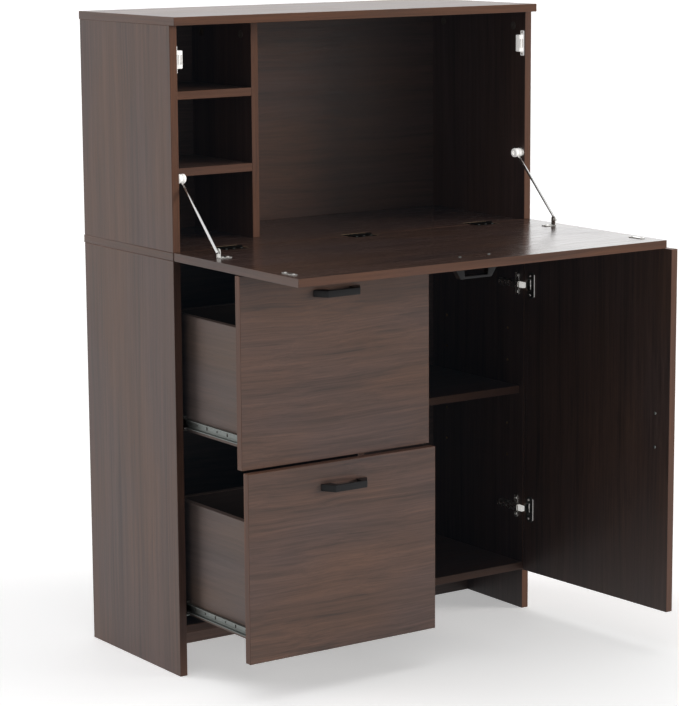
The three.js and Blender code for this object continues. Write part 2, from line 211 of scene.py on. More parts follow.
def carved(bm, tools):
    """bm with the tool meshes cut out of it."""
    target = bpy.data.objects.new("target", bpy.data.meshes.new("target"))
    cutter = bpy.data.objects.new("cutter", bpy.data.meshes.new("cutter"))
    cutting = bmesh.new()
    for tool in tools:
        merge(cutting, tool)
    bmesh.ops.recalc_face_normals(cutting, faces=cutting.faces)
    bmesh.ops.recalc_face_normals(bm, faces=bm.faces)
    bm.to_mesh(target.data)
    cutting.to_mesh(cutter.data)
    cutting.free()
    bm.free()
    for item in (target, cutter):
        bpy.context.scene.collection.objects.link(item)
    modifier = target.modifiers.new("cut", "BOOLEAN")
    modifier.operation = "DIFFERENCE"
    modifier.solver = "EXACT"
    modifier.object = cutter
    evaluated = target.evaluated_get(bpy.context.evaluated_depsgraph_get())
    result = bmesh.new()
    result.from_mesh(evaluated.to_mesh())
    evaluated.to_mesh_clear()
    for item in (target, cutter):
        mesh = item.data
        bpy.data.objects.remove(item)
        bpy.data.meshes.remove(mesh)
    return result


def turned(axis):
    """Rotation that takes +Z to axis."""
    return Vector(axis).to_track_quat("Z", "Y").to_matrix().to_4x4()


def place(point, axis=Z):
    return Matrix.Translation(Vector(point)) @ turned(axis)


def piece(name, bm, materials, body, replaces=(), matrix=None, crease=35):
    """Turns a bmesh into a finished piece that rides on a body."""
    bmesh.ops.recalc_face_normals(bm, faces=bm.faces)
    mesh = bpy.data.meshes.new(name)
    bm.to_mesh(mesh)
    bm.free()
    for material in materials:
        mesh.materials.append(material)
    if crease:
        for polygon in mesh.polygons:
            polygon.use_smooth = True
        mesh.set_sharp_from_angle(angle=math.radians(crease))
    made = bpy.data.objects.new(name, mesh)
    bpy.context.scene.collection.objects.link(made)
    if matrix:
        made.matrix_world = matrix
    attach(made, body)
    if replaces:
        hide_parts(*replaces)


# ---- Materials ------------------------------------------------------------------------
class Shader:
    """A material whose Principled BSDF is fed by the nodes added to it."""

    def __init__(self, name, roughness=0.5, metallic=0.0, specular=0.5):
        self.material = bpy.data.materials.new(name)
        self.material.use_nodes = True
        self.tree = self.material.node_tree
        self.bsdf = self.tree.nodes["Principled BSDF"]
        self.bsdf.inputs["Roughness"].default_value = roughness
        self.bsdf.inputs["Metallic"].default_value = metallic
        self.bsdf.inputs["Specular IOR Level"].default_value = specular
        self.coordinates = self.node("ShaderNodeTexCoord").outputs["Object"]

    def node(self, kind, **settings):
        made = self.tree.nodes.new(kind)
        for key, value in settings.items():
            setattr(made, key, value)
        return made

    def link(self, source, target):
        if isinstance(source, bpy.types.NodeSocket):
            self.tree.links.new(source, target)
        else:
            target.default_value = source

    def stretched(self, vector, scale, offset=(0, 0, 0)):
        mapping = self.node("ShaderNodeMapping")
        mapping.inputs["Scale"].default_value = scale
        mapping.inputs["Location"].default_value = offset
        self.link(vector, mapping.inputs["Vector"])
        return mapping.outputs["Vector"]

    def noise(self, vector, scale=1.0, detail=2.0, roughness=0.5):
        made = self.node("ShaderNodeTexNoise")
        made.inputs["Scale"].default_value = scale
        made.inputs["Detail"].default_value = detail
        made.inputs["Roughness"].default_value = roughness
        self.link(vector, made.inputs["Vector"])
        return made

    def math(self, operation, first, second, clamp=False):
        made = self.node("ShaderNodeMath", operation=operation, use_clamp=clamp)
        self.link(first, made.inputs[0])
        self.link(second, made.inputs[1])
        return made.outputs[0]

    def between(self, value, low, high, to_low=0.0, to_high=1.0):
        made = self.node("ShaderNodeMapRange")
        for key, number in zip(("From Min", "From Max", "To Min", "To Max"), (low, high, to_low, to_high)):
            made.inputs[key].default_value = number
        self.link(value, made.inputs["Value"])
        return made.outputs["Result"]

    def ramp(self, value, stops):
        made = self.node("ShaderNodeValToRGB")
        elements = made.color_ramp.elements
        while len(elements) < len(stops):
            elements.new(0.5)
        for element, (position, colour) in zip(elements, stops):
            element.position = position
            element.color = (*colour, 1)
        self.link(value, made.inputs["Fac"])
        return made.outputs["Color"]

    def mix(self, factor, first, second, blend="MIX"):
        made = self.node("ShaderNodeMix", data_type="RGBA", blend_type=blend)
        self.link(factor, made.inputs["Factor"])
        colours = [socket for socket in made.inputs if socket.type == "RGBA"]
        for socket, colour in zip(colours, (first, second)):
            self.link(colour if isinstance(colour, bpy.types.NodeSocket) else (*colour, 1), socket)
        return [socket for socket in made.outputs if socket.type == "RGBA"][0]

    def colour(self, source):
        self.link(source, self.bsdf.inputs["Base Color"])

    def rough(self, source):
        self.link(source, self.bsdf.inputs["Roughness"])

    def bump(self, height, strength, distance):
        made = self.node("ShaderNodeBump")
        made.inputs["Strength"].default_value = strength
        made.inputs["Distance"].default_value = distance
        self.link(height, made.inputs["Height"])
        self.link(made.outputs["Normal"], self.bsdf.inputs["Normal"])


def scaled(colour, factor):
    return tuple(min(1.0, c * factor) for c in colour)


def along(axis, grain, cross):
    """Scale vector: grain cycles per metre along the axis, cross cycles per metre across it."""
    return tuple(grain if k == axis else cross for k in range(3))


def wandering(shader, start, axis, sway):
    """The start vector pushed slowly across the grain by up to sway metres, so that the lines wander."""
    drift = shader.noise(shader.stretched(start, along(axis, 3.0, 6.0)), detail=2)
    centred = shader.node("ShaderNodeVectorMath", operation="SUBTRACT")
    shader.link(drift.outputs["Color"], centred.inputs[0])
    centred.inputs[1].default_value = (0.5, 0.5, 0.5)
    pushed = shader.node("ShaderNodeVectorMath", operation="MULTIPLY_ADD")
    shader.link(centred.outputs["Vector"], pushed.inputs[0])
    pushed.inputs[1].default_value = along(axis, 0.0, sway)
    shader.link(start, pushed.inputs[2])
    return pushed.outputs["Vector"]


def wood_shades(shader, start, axis, tone, colour, contrast):
    """Light and dark lines from the tone, drifting between a cool and a warm hue of the colour."""
    spread = 0.46 * contrast
    stops = ((0.36, 1 - spread), (0.45, 1 - spread * 0.3), (0.54, 1 + spread * 0.3), (0.65, 1 + spread))
    cool = (colour[0] * 0.96, colour[1] * 1.01, colour[2] * 1.07)
    warm = (colour[0] * 1.07, colour[1] * 1.0, colour[2] * 0.86)
    shades = [
        shader.ramp(tone, [(position, scaled(hue, factor)) for position, factor in stops])
        for hue in (cool, warm)
    ]
    tint = shader.noise(shader.stretched(start, along(axis, 2.5, 7)), detail=2)
    return shader.mix(shader.between(tint.outputs["Fac"], 0.38, 0.62), *shades)


def wood(name, axis, colour, contrast=1.0, wave=0.0, roughness=0.4, seed=0.0, relief=0.12, specular=0.5):
    """Printed walnut laminate with its grain along axis 0, 1 or 2 of the piece's own space."""
    shader = Shader(name, specular=specular)
    # Every wood glows faintly with a cool colour: painted light that lifts its darks.
    shader.bsdf.inputs["Emission Color"].default_value = PAINTED_GLOW_LIFT
    shader.bsdf.inputs["Emission Strength"].default_value = 1.0
    start = shader.stretched(shader.coordinates, (1, 1, 1), (seed, seed * 1.7, seed * 0.6))
    grain = wandering(shader, start, axis, 0.010 + wave)

    figure = shader.noise(shader.stretched(grain, along(axis, 1.1, 30)), detail=3, roughness=0.55)
    rings = shader.noise(shader.stretched(grain, along(axis, 2.2, 135)), detail=3, roughness=0.65)
    streaks = shader.noise(shader.stretched(grain, along(axis, 9, 420)), detail=2, roughness=0.6)
    pores = shader.noise(shader.stretched(grain, along(axis, 40, 1300)), detail=1)
    shares = ((figure, 0.33), (rings, 0.40), (streaks, 0.27))
    parts = [shader.math("MULTIPLY", layer.outputs["Fac"], share) for layer, share in shares]
    tone = shader.math("ADD", shader.math("ADD", parts[0], parts[1]), parts[2])
    shade = wood_shades(shader, start, axis, tone, colour, contrast)
    pore_mask = shader.between(pores.outputs["Fac"], 0.60, 0.72)
    shader.colour(shader.mix(shader.math("MULTIPLY", pore_mask, 0.45), shade, scaled(colour, 0.5)))
    shader.rough(shader.between(streaks.outputs["Fac"], 0.3, 0.7, roughness - 0.05, roughness + 0.07))
    shader.bump(shader.math("SUBTRACT", streaks.outputs["Fac"], pore_mask), relief, 0.00015)
    return shader.material


WALNUT = (0.077, 0.0435, 0.0335)
BANDING = (0.098, 0.047, 0.030)
ENDS = (0.083, 0.0455, 0.0335)
LINING = (0.080, 0.054, 0.045)
# Painted light: the faint cool glow that every wood gives off.
PAINTED_GLOW_LIFT = (0.0011, 0.0018, 0.0025, 1)
KINDS = {
    "face": dict(colour=WALNUT, contrast=1.15, wave=0.008, roughness=0.42),
    "front": dict(colour=WALNUT, contrast=1.3, wave=0.024, roughness=0.42),
    "desk": dict(colour=scaled(WALNUT, 0.68), contrast=1.0, wave=0.01, roughness=0.22, relief=0.03),
    "ends": dict(colour=ENDS, contrast=0.9, wave=0.005, roughness=0.42),
    "band": dict(colour=BANDING, contrast=0.8, wave=0.005, roughness=0.45, specular=0.3),
    "lining": dict(colour=LINING, contrast=0.8, wave=0.01, roughness=0.5),
    # Painted shade: a much darker copy of the lining for the faces inside a drawer, where shade falls.
    "inside": dict(colour=scaled(LINING, 0.22), contrast=0.6, wave=0.01, roughness=0.6, specular=0.2),
    # Painted shade: the back boards take a darker copy of the walnut for the shade at the back of the hollows,
    # which darkens their outer faces too.
    "back": dict(colour=scaled(WALNUT, 0.76), contrast=1.2, wave=0.02, roughness=0.5),
}
woods = {}


def walnut(axis, kind="face"):
    """One laminate per grain direction and use, made when first asked for."""
    key = f"{kind}_{'xyz'[axis]}"
    if key not in woods:
        seed = 0.31 * (len(woods) + 1)
        woods[key] = wood(f"walnut_{key}", axis, seed=seed, **KINDS[kind])
    return woods[key]


def metal(name, colour, roughness, brushed=None, metallic=1.0, spread=0.12):
    """Plated or brushed metal: faint lines along an axis, or cloudy if brushed is None."""
    shader = Shader(name, metallic=metallic)
    scale = along(brushed, 25, 1400) if brushed is not None else (260, 260, 260)
    lines = shader.noise(shader.stretched(shader.coordinates, scale), detail=3)
    cloud = shader.noise(shader.coordinates, scale=45, detail=3)
    shader.colour(shader.mix(cloud.outputs["Fac"], scaled(colour, 0.86), scaled(colour, 1.1)))
    shader.rough(shader.between(lines.outputs["Fac"], 0.3, 0.7, roughness - spread / 2, roughness + spread))
    shader.bump(lines.outputs["Fac"], 0.05, 0.00005)
    return shader.material


def painted(name, colour, roughness, bump=0.08, specular=0.5, glow=0.0):
    """Powder coat or moulded plastic: fine orange peel and slightly uneven gloss. A glow makes it give off its own
    colour: painted light.
    """
    shader = Shader(name, specular=specular)
    shader.bsdf.inputs["Emission Color"].default_value = (*colour, 1)
    shader.bsdf.inputs["Emission Strength"].default_value = glow
    peel = shader.noise(shader.coordinates, scale=900, detail=2)
    cloud = shader.noise(shader.coordinates, scale=60, detail=2)
    shader.colour(shader.mix(cloud.outputs["Fac"], scaled(colour, 0.85), scaled(colour, 1.15)))
    shader.rough(shader.between(cloud.outputs["Fac"], 0.3, 0.7, roughness - 0.05, roughness + 0.08))
    shader.bump(peel.outputs["Fac"], bump, 0.0001)
    return shader.material


CHIPBOARD = painted("chipboard_core", (0.42, 0.31, 0.20), 0.8, bump=0.6, specular=0.1)
BLACK = painted("black_powder_coat", (0.010, 0.010, 0.011), 0.34, specular=0.22)
HINGE_BLACK = painted("black_hinge_lacquer", (0.006, 0.006, 0.006), 0.6, specular=0.0)
# The white plastic glows a little: painted light that keeps catches and hubs bright in shade.
WHITE = painted("white_plastic", (0.86, 0.85, 0.83), 0.35, bump=0.04, glow=0.42)
# Painted light: a near-white material that glows, for the link at the hinge arm's tip and the cup flange's free
# edge.
LINK_PAINTED_GLOW = painted("hinge_link_painted_glow", (0.80, 0.79, 0.76), 0.3, glow=0.6)
CAP_GREY = painted("cap_grey", (0.12, 0.105, 0.095), 0.45)
ZINC = metal("zinc_plate", (0.20, 0.215, 0.205), 0.36, brushed=1)
NICKEL = metal("nickel_plate", (0.72, 0.71, 0.68), 0.24)
BRIGHT = metal("bright_rod", (0.78, 0.78, 0.77), 0.16)
DARK_STEEL = metal("dark_cup_steel", (0.10, 0.10, 0.10), 0.45)
BALL = metal("ball_steel", (0.7, 0.7, 0.7), 0.15)


# ---- Screws ---------------------------------------------------------------------------
def screw_mesh(radius=3.6 * MM, height=1.5 * MM):
    """Pan head with a cross recess, standing on z = 0. Kept as a mesh to be copied."""
    profile = [(0, -height * 0.5), (radius * 0.55, -height * 0.5), (radius, 0)]
    profile += [(radius * math.cos(a), height * math.sin(a)) for a in (0.25, 0.55, 0.9, 1.25)]
    head = lathe(profile + [(0, height)], 20)
    blade = Vector((radius * 0.62, radius * 0.14, height * 0.55))
    wings = []
    for turn in (0, math.pi / 2):
        low = Vector((-blade.x, -blade.y, height * 0.45))
        high = Vector((blade.x, blade.y, height * 1.4))
        wing = block(low, high)
        bmesh.ops.transform(wing, matrix=Matrix.Rotation(turn + 0.4, 4, "Z"), verts=wing.verts)
        wings.append(wing)
    head = carved(head, wings[:1])
    head = carved(head, wings[1:])
    mesh = bpy.data.meshes.new("screw_head")
    head.to_mesh(mesh)
    head.free()
    return mesh


SCREW = screw_mesh()


def screws(bm, points, axis, size=1.0):
    for point in points:
        add_mesh(bm, SCREW, place(point, axis) @ Matrix.Scale(size, 4))


# ---- Boards ---------------------------------------------------------------------------
ARRIS = 0.55 * MM
THIN_ARRIS = 0.3 * MM
DESK_ARRIS = 1.2 * MM
RIM = 4 * MM


def board(node, thin, grain, kind="face", slot="walnut_carcass", band="band", matrix=None, arris=ARRIS,
          inside=0, ends=None):
    """
    A board with eased edges. Its faces across the thin axis are laminate, its rim is edge band,
    and its holes show the core. The face inside a drawer, if inside says which, is painted darker: painted shade.
    """
    bm = cad_mesh(node, matrix.inverted() if matrix else None)
    low, high = limits(bm)
    round_edges(bm, arris)
    bmesh.ops.recalc_face_normals(bm, faces=bm.faces)
    others = [axis for axis in range(3) if axis != thin]
    for face in bm.faces:
        facing = max(others, key=lambda k: abs(face.normal[k]))
        centre = face.calc_center_median()
        if abs(face.normal[thin]) > 0.95:
            face.material_index = 3 if inside * face.normal[thin] > 0.5 else 0
        elif all(low[k] + RIM < centre[k] < high[k] - RIM for k in others):
            face.material_index = 3
        else:
            length = [axis for axis in others if axis != facing][0]
            face.material_index = 1 + others.index(length)
    materials = [walnut(grain, kind), walnut(others[0], band), walnut(others[1], ends or band)]
    materials.append(walnut(grain, "inside") if inside else CHIPBOARD)
    piece(f"{node}_board", bm, materials, BODY_OF[node], [node], matrix, crease=None)


def make_boards():
    for name in ("base_side_left", "base_side_right", "hutch_side_left", "hutch_side_right",
                 "base_divider", "hutch_divider"):
        board(name, thin=0, grain=2)
    for name in ("base_bottom", "adjustable_shelf", "hutch_shelf_lower", "hutch_shelf_upper"):
        board(name, thin=2, grain=0)
    board("hutch_top", thin=2, grain=0, ends="ends")
    board("desk_panel", thin=2, grain=0, kind="desk", ends="ends", arris=DESK_ARRIS)
    board("flap_panel", thin=2, grain=0, kind="desk", ends="ends")
    board("plinth_rail", thin=1, grain=0)
    # The back boards use the darker back laminate: painted shade.
    board("hutch_back", thin=1, grain=0, kind="back", slot="back_board", arris=THIN_ARRIS)
    board("base_back", thin=1, grain=0, kind="back", slot="back_board", arris=THIN_ARRIS)
    board("door_panel", thin=1, grain=2, slot="walnut_fronts", matrix=SWING)
    for level in LEVELS:
        board(f"drawer_{level}_front", thin=1, grain=0, kind="front", slot="walnut_fronts")
        options = dict(kind="lining", band="lining", slot="drawer_board")
        board(f"drawer_{level}_side_left", thin=0, grain=1, inside=1, **options)
        board(f"drawer_{level}_side_right", thin=0, grain=1, inside=-1, **options)
        board(f"drawer_{level}_back", thin=1, grain=0, inside=-1, **options)
        board(f"drawer_{level}_bottom", thin=2, grain=0, inside=1, arris=THIN_ARRIS, **options)


# ---- Handles --------------------------------------------------------------------------
BOARD = 15 * MM
HANDLE_GAP = 0.3 * MM
HANDLE_EASE = 1.3 * MM
HANDLE_SCREW_PITCH = 64 * MM


def handle(node, outward, length_axis, matrix=None):
    """Eased bridge handle, with its two screws on the far side of the board."""
    bm = cad_mesh(node, matrix.inverted() if matrix else None)
    low, high = limits(bm)
    round_edges(bm, HANDLE_EASE, 3)
    piece(f"{node}_bridge", bm, [BLACK], BODY_OF[node], [node], matrix)
    centre = (low + high) / 2
    foot = low if sum(outward) > 0 else high
    flat = Vector([foot[k] if outward[k] else centre[k] for k in range(3)])
    inside = flat - outward * (BOARD + HANDLE_GAP)
    heads = bmesh.new()
    ends = [inside + length_axis * HANDLE_SCREW_PITCH / 2 * way for way in (-1, 1)]
    screws(heads, ends, -outward, 0.85)
    piece(f"{node}_screws", heads, [ZINC], BODY_OF[node], (), matrix)


def make_handles():
    handle("flap_handle", -Z, X)
    handle("door_handle", -Y, Z, SWING)
    for level in LEVELS:
        handle(f"drawer_{level}_handle", -Y, X)


# ---- Flap hinges ----------------------------------------------------------------------
LEAF_EASE = 0.25 * MM
LEAF_TOP = 2 * MM
LEAF_SCREW_STEP = 16 * MM
LEAF_SCREW_ROW = 3 * MM


def make_flap_hinges():
    for side in ("left", "middle", "right"):
        make_leaf(f"flap_hinge_base_{side}", 1)
        make_leaf(f"flap_hinge_leaf_{side}", -1)


def make_leaf(node, rearward):
    """One black leaf with its knuckles, and three screws in a row on the side away from the pin."""
    bm = cad_mesh(node)
    low, high = limits(bm)
    round_edges(bm, LEAF_EASE, 2, 50)
    centre = (low + high) / 2
    row = centre.y + rearward * LEAF_SCREW_ROW
    points = [Vector((centre.x + k * LEAF_SCREW_STEP, row, low.z + LEAF_TOP)) for k in (-1, 0, 1)]
    heads = bmesh.new()
    screws(heads, points, Z, 0.62)
    paint(heads, 1)
    merge(bm, heads)
    piece(f"{node}_plate", bm, [HINGE_BLACK, ZINC], BODY_OF[node], [node])


# ---- Stays ----------------------------------------------------------------------------
ROD_RADIUS = 2.5 * MM
HUB_BORE = 3 * MM
BASE_RADIUS = 11 * MM
BRACKET_EASE = 0.4 * MM
BRACKET_FOOT = 1.5 * MM
BRACKET_PIN_DROP = 6 * MM
BRACKET_SCREWS = (8.5 * MM, 19.5 * MM)


def make_stays():
    for side in SIDES:
        slope = Vector(JOINTS[f"rod_travel_{side}"]["axis"]).normalized()
        make_hub(side, slope)
        make_stay_base(side)
        make_rod(side, slope)
        make_bracket(side)


def make_hub(side, slope):
    """Stepped plastic barrel with a dished end, turned about X and cross-bored for the rod."""
    low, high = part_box(f"stay_hub_{side}")
    centre = (low + high) / 2
    half = (high.x - low.x) / 2
    radius = (high.y - low.y) / 2
    # Shares of the radius, with millimetres from the end at the wall and then from the free end.
    at_wall = [(0, 0), (0.8, 0), (0.94, 1.2), (1, 3), (0.97, 6), (0.86, 8.2)]
    at_free_end = [(0.97, 5.4), (1, 3.4), (0.95, 1), (0.84, 0), (0.46, 0), (0.4, 3), (0, 3)]
    profile = [(radius * share, depth * MM - half) for share, depth in at_wall]
    profile += [(radius * share, half - depth * MM) for share, depth in at_free_end]
    barrel = lathe(profile, 40)
    bmesh.ops.transform(barrel, matrix=place(centre, X * INWARD[side]), verts=barrel.verts)
    bore = cylinder(HUB_BORE, 16 * MM, 24)
    bmesh.ops.transform(bore, matrix=place(centre, slope), verts=bore.verts)
    node = f"stay_hub_{side}"
    piece(f"{node}_barrel", carved(barrel, [bore]), [WHITE], BODY_OF[node], [node])


def make_stay_base(side):
    """Steel disc that fills most of the gap between the side panel and the hub."""
    low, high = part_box(f"stay_hub_{side}")
    centre = (low + high) / 2
    gap = abs((low.x if INWARD[side] > 0 else high.x) - WALL[side])
    disc = lathe([(0, 0), (BASE_RADIUS, 0), (BASE_RADIUS, gap * 0.45), (BASE_RADIUS - 1 * MM, gap * 0.8),
                  (5 * MM, gap * 0.9), (0, gap * 0.9)], 36)
    base = bmesh.new()
    merge(base, disc, place((WALL[side], centre.y, centre.z), X * INWARD[side]))
    piece(f"stay_base_{side}", base, [NICKEL], "root")


def make_rod(side, slope):
    """Round bar, chamfered below and domed above the hub."""
    node = f"stay_rod_{side}"
    low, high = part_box(node)
    start = Vector(((low.x + high.x) / 2, low.y, low.z))
    end = Vector((start.x, high.y, high.z))
    half = (end - start).length / 2 - ROD_RADIUS
    bar = lathe([(0, -half), (ROD_RADIUS * 0.6, -half), (ROD_RADIUS, 0.8 * MM - half),
                 (ROD_RADIUS, half - 1.4 * MM), (ROD_RADIUS * 0.75, half - 0.4 * MM), (0, half)], 24)
    rod = bmesh.new()
    merge(rod, bar, place((start + end) / 2, slope))
    piece(f"{node}_bar", rod, [BRIGHT], BODY_OF[node], [node])


def make_bracket(side):
    """Foot and ear screwed to the flap, with the pin that carries the rod."""
    node = f"stay_bracket_{side}"
    inward = INWARD[side]
    bm = cad_mesh(node)
    low, high = limits(bm)
    round_edges(bm, BRACKET_EASE, 2, 50)
    ear_x = low.x if inward > 0 else high.x
    middle_y = (low.y + high.y) / 2
    pin = lathe(mm((0, -5.6), (1.1, -5.6), (1.1, 1.2), (2.6, 1.2), (2.6, 2.2), (1.6, 2.8), (0, 2.8)), 20)
    pin_place = Vector((ear_x + inward * 0.3 * MM, middle_y, high.z - BRACKET_PIN_DROP))
    merge(bm, pin, place(pin_place, X * inward))
    heads = [Vector((ear_x + inward * reach, middle_y, low.z + BRACKET_FOOT)) for reach in BRACKET_SCREWS]
    screws(bm, heads, Z, 0.9)
    piece(f"{node}_plate", bm, [NICKEL], BODY_OF[node], [node])


# ---- Magnetic catches and strike plates -----------------------------------------------
CATCH_Z = DESK_TOP + 341.5 * MM
CATCH_RIBS = 9
CATCH_RIB_STEP = 3.2 * MM
STRIKE_LENGTH = 40 * MM
STRIKE_WIDTH = 11 * MM
STRIKE_THICKNESS = 1.2 * MM
STRIKE_OFF_WALL = 7.5 * MM


def make_catches():
    for side in SIDES:
        make_catch_case(side)
        make_catch_poles(side)
        make_strike(side)


def catch_block(side, off_wall, behind, half, ease, rise=0.0):
    """A block about the catch's middle. off_wall and behind, the front edge, are (from, to) in mm."""
    xs = sorted(WALL[side] + INWARD[side] * distance * MM for distance in off_wall)
    low = Vector((xs[0], CORNER.y + behind[0] * MM, CATCH_Z + rise - half * MM))
    high = Vector((xs[1], CORNER.y + behind[1] * MM, CATCH_Z + rise + half * MM))
    return block(low, high, ease * MM, 3)


def make_catch_case(side):
    """Long thin foot on the side panel, a deeper body on it, and ribs down the body's face."""
    case = catch_block(side, (0, 2.2), (2.3, 12), 24, 0.8)
    merge(case, catch_block(side, (1.5, 13), (2.3, 13), 16, 1.2))
    for k in range(CATCH_RIBS):
        rise = (k - (CATCH_RIBS - 1) / 2) * CATCH_RIB_STEP
        merge(case, catch_block(side, (12.4, 13.7), (4, 11.4), 0.8, 0.4, rise))
    piece(f"catch_{side}_case", case, [WHITE], "root")


def make_catch_poles(side):
    """Two pole plates at the front of the body, and the screws through the foot."""
    poles = bmesh.new()
    for near in (3.5, 9.5):
        merge(poles, catch_block(side, (near, near + 1.6), (1.0, 3.4), 8.5, 0.2))
    foot_x = WALL[side] + INWARD[side] * 2.2 * MM
    heads = [Vector((foot_x, CORNER.y + 6.5 * MM, CATCH_Z + k * 20 * MM)) for k in (-1, 1)]
    screws(poles, heads, X * INWARD[side], 0.7)
    piece(f"catch_{side}_poles", poles, [NICKEL], "root")


def make_strike(side):
    """Plate on the flap, where it meets the catch when the flap is up."""
    y = CORNER.y - (CATCH_Z - JOINTS["flap_fold"]["pos_m"][2])
    x = WALL[side] + INWARD[side] * STRIKE_OFF_WALL
    plate = prism(slot_outline(STRIKE_LENGTH, STRIKE_WIDTH), STRIKE_THICKNESS, 0.35 * MM, 2)
    bm = bmesh.new()
    merge(bm, plate, Matrix.Translation((x, y, DESK_TOP)) @ Matrix.Rotation(math.pi / 2, 4, "Z"))
    heads = [Vector((x, y + k * 13 * MM, DESK_TOP + STRIKE_THICKNESS)) for k in (-1, 1)]
    screws(bm, heads, Z, 0.75)
    piece(f"strike_plate_{side}", bm, [NICKEL], "flap")


# ---- Door hinges ----------------------------------------------------------------------
CUP_RADIUS = 13 * MM
CUP_WALL = 1 * MM
CUP_FLANGE = 1 * MM
CUP_SCREW = 19 * MM
CUP_HINGE_SIDE = 7 * MM
ARM_WIDTH = 13 * MM
ARM_STEEL = 1.2 * MM
ARM_SCREWS = (34 * MM, 50 * MM)
WING_Y = CORNER.y + 19 * MM
BASE_HALF = 7 * MM
BASE_HEIGHT = 4 * MM


def make_door_hinges():
    for level in LEVELS:
        make_cup(level)
        make_arm(level)


def make_flange(low, high, centre):
    """Rounded plate, open over the cup. Only its free edge, away from the door's axis, glows: a painted highlight.
    """
    flange = block((low.x, centre.y, low.z), (centre.x + CUP_HINGE_SIDE, high.y, high.z))
    upright = [e for e in flange.edges if abs((e.verts[0].co - e.verts[1].co).y) > CUP_FLANGE / 2]
    bmesh.ops.bevel(flange, geom=upright, offset=4 * MM, segments=5, affect="EDGES")
    round_edges(flange, 0.25 * MM, 1, 60)
    for face in flange.faces:
        face.material_index = 1 if face.calc_center_median().x > low.x + 1 * MM else 2
    hole = cylinder(CUP_RADIUS - CUP_WALL, 4 * MM, 40)
    bmesh.ops.transform(hole, matrix=place(centre, Y), verts=hole.verts)
    return carved(flange, [hole])


def make_cup(level):
    """Small cup under a long flange with two screws, made with the door shut."""
    node = f"hinge_cup_{level}"
    low, high = limits(cad_mesh(node, UNSWING))
    centre = Vector((high.x - CUP_RADIUS, high.y - CUP_FLANGE, (low.z + high.z) / 2))
    floor = low.y - centre.y
    cup = lathe([(0, floor), (CUP_RADIUS - 2 * MM, floor), (CUP_RADIUS, floor + 2 * MM), (CUP_RADIUS, 0),
                 (CUP_RADIUS - 0.3 * MM, 0.3 * MM), (CUP_RADIUS - CUP_WALL, 0),
                 (CUP_RADIUS - CUP_WALL, floor + 2.4 * MM), (CUP_RADIUS - 3 * MM, floor + CUP_WALL),
                 (0, floor + CUP_WALL)], 40)
    paint(cup, 1)
    bm = bmesh.new()
    merge(bm, cup, place(centre, Y))
    merge(bm, make_flange(low, high, centre))
    heads = [Vector((centre.x, high.y - 0.3 * MM, centre.z + k * CUP_SCREW)) for k in (-1, 1)]
    screws(bm, heads, Y, 0.75)
    pin = cylinder(1.2 * MM, 10 * MM, 12)
    merge(bm, pin, Matrix.Translation((centre.x + 6 * MM, low.y + 5 * MM, centre.z)))
    piece(f"{node}_shell", bm, [NICKEL, DARK_STEEL, LINK_PAINTED_GLOW], "door", [node], SWING)


def make_wing_plate(low, high):
    """Oblong wings screwed to the side panel, and the raised base that the arm sits on."""
    middle = (low.z + high.z) / 2
    bm = bmesh.new()
    wings = prism(slot_outline(high.z - low.z, 12 * MM, 10), 2 * MM, 0.4 * MM, 2)
    merge(bm, wings, Matrix.Translation((high.x, WING_Y, middle)) @ Matrix.Rotation(-math.pi / 2, 4, "Y"))
    base_low = (high.x - BASE_HEIGHT, CORNER.y + 10 * MM, middle - BASE_HALF)
    merge(bm, block(base_low, (high.x, high.y, middle + BASE_HALF), 0.6 * MM))
    heads = [Vector((high.x - 2 * MM, WING_Y, middle + k * 16 * MM)) for k in (-1, 1)]
    screws(bm, heads, -X, 1.0)
    return bm


def make_channel(low, high):
    """The arm: an inverted U along Y, open towards the side panel."""
    front, rear = CORNER.y + 2 * MM, high.y - 2 * MM
    outer_x = high.x - 3.6 * MM
    rise = outer_x - low.x
    half = ARM_WIDTH / 2 - ARM_STEEL / 2
    path = [(0, -half), (rise, -half), (rise, half), (0, half)]
    channel = prism(strip_outline(path, ARM_STEEL, 2.2 * MM), rear - front, 0)
    # The outline's X points away from the panel and its Y up; it is extruded along Y.
    lay = Matrix(((-1, 0, 0, outer_x), (0, 0, 1, front), (0, 1, 0, (low.z + high.z) / 2), (0, 0, 0, 1)))
    bmesh.ops.transform(channel, matrix=lay, verts=channel.verts)
    return channel


def make_arm(level):
    """Wing plate, channel-shaped arm, its link at the tip, which glows with painted light, its cover and its two
    adjusters.
    """
    node = f"hinge_arm_{level}"
    low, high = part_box(node)
    middle = (low.z + high.z) / 2
    bm = make_wing_plate(low, high)
    merge(bm, make_channel(low, high))
    tip_low = (high.x - 12 * MM, low.y, middle - 5.4 * MM)
    tip_high = (high.x - 4 * MM, CORNER.y + 3 * MM, middle + 5.4 * MM)
    tip = block(tip_low, tip_high, 1.2 * MM, 3)
    # The tip takes the glowing link material: a painted highlight.
    paint(tip, 1)
    merge(bm, tip)
    cover_low = (low.x + 0.7 * MM, CORNER.y - 1 * MM, middle - 5.2 * MM)
    cover_high = (low.x + 2 * MM, CORNER.y + 24 * MM, middle + 5.2 * MM)
    merge(bm, block(cover_low, cover_high, 0.5 * MM, 2))
    screws(bm, [Vector((low.x + 0.6 * MM, CORNER.y + y, middle)) for y in ARM_SCREWS], -X, 0.95)
    piece(f"{node}_steel", bm, [NICKEL, LINK_PAINTED_GLOW], "root", [node])


# ---- Drawer slides --------------------------------------------------------------------
SLIDE_STEEL = 1.2 * MM
SLIDE_BEND = 1.8 * MM
SLIDE_HOLES = 8
SLIDE_FIRST_HOLE = 35 * MM
SLIDE_HOLE_STEP = 34 * MM
SLIDE_HOLE = 4 * MM
SLIDE_SLOT = 7 * MM
CAGE_FROM, CAGE_TO = 4 * MM, 68 * MM
CAGE_BALLS = 8
CAGE_HALF_WIDTH = 2.4 * MM


def make_slides():
    for level in LEVELS:
        for side in SIDES:
            for member in ("outer", "inner"):
                make_member(level, member, side)
            make_cage(level, side)


